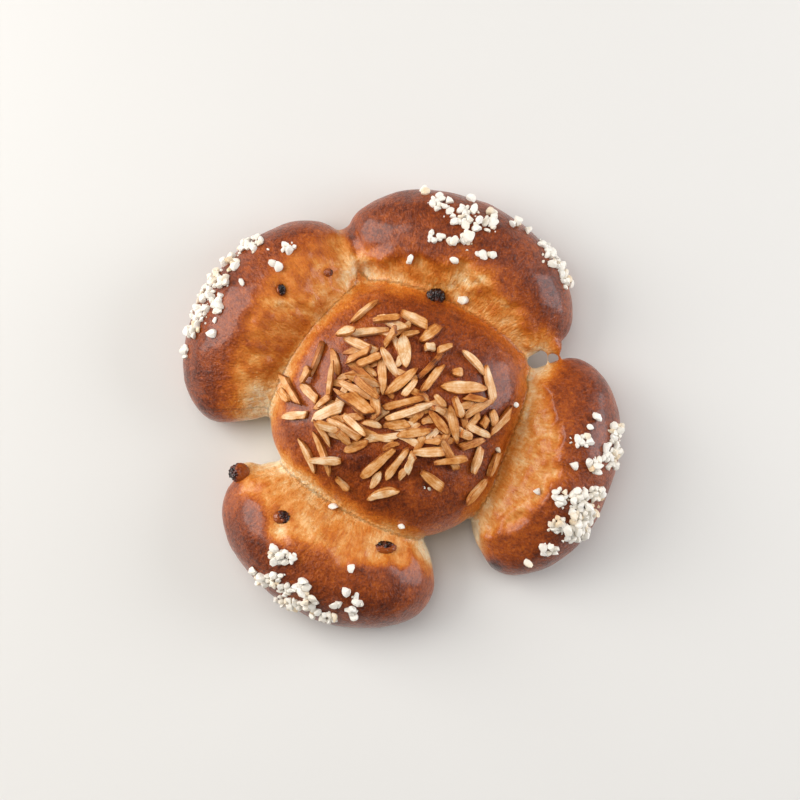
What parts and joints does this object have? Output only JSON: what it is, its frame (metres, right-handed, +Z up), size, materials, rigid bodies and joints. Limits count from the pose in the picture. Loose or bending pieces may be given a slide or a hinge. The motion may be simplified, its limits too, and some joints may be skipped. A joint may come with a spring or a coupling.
{
  "type": "king cake",
  "caption": "Baked king cake: a tall round bun ringed by bean-shaped buns baked onto it, topped with toasted almond slivers, pearl sugar and raisins.",
  "frame": {"origin": "on the flat base, under the middle of the cake's outline", "axes": "+Z up out of the top crust, +X and +Y along the table, with one open gap between two outer buns towards -X and the other towards -Y"},
  "size_m": [0.2117, 0.2126, 0.0561],
  "materials": {
    "crust": "satin",
    "raisin": "satin",
    "almond": "matte",
    "sugar": "matte"
  },
  "bodies": {
    "root": {"bread": "crust", "raisin_01": "raisin", "raisin_02": "raisin", "raisin_03": "raisin", "raisin_04": "raisin", "raisin_05": "raisin", "raisin_06": "raisin", "almond_sliver_01": "almond", "almond_sliver_02": "almond", "almond_sliver_03": "almond", "almond_sliver_04": "almond", "almond_sliver_05": "almond", "almond_sliver_06": "almond", "almond_sliver_07": "almond", "almond_sliver_08": "almond", "almond_sliver_09": "almond", "almond_sliver_10": "almond", "almond_sliver_11": "almond", "almond_sliver_12": "almond", "almond_sliver_13": "almond", "almond_sliver_14": "almond", "almond_sliver_15": "almond", "almond_sliver_16": "almond", "almond_sliver_17": "almond", "almond_sliver_18": "almond", "almond_sliver_19": "almond", "almond_sliver_20": "almond", "almond_sliver_21": "almond", "almond_sliver_22": "almond", "almond_sliver_23": "almond", "almond_sliver_24": "almond", "almond_sliver_25": "almond", "almond_sliver_26": "almond", "almond_sliver_27": "almond", "almond_sliver_28": "almond", "almond_sliver_29": "almond", "almond_sliver_30": "almond", "almond_sliver_31": "almond", "almond_sliver_32": "almond", "almond_sliver_33": "almond", "almond_sliver_34": "almond", "almond_sliver_35": "almond", "almond_sliver_36": "almond", "almond_sliver_37": "almond", "almond_sliver_38": "almond", "almond_sliver_39": "almond", "almond_sliver_40": "almond", "almond_sliver_41": "almond", "almond_sliver_42": "almond", "sugar_lump_01": "sugar", "sugar_lump_02": "sugar", "sugar_lump_03": "sugar", "sugar_lump_04": "sugar", "sugar_lump_05": "sugar", "sugar_lump_06": "sugar", "sugar_lump_07": "sugar", "sugar_lump_08": "sugar", "sugar_lump_09": "sugar", "sugar_lump_10": "sugar"}
  },
  "joints": []
}
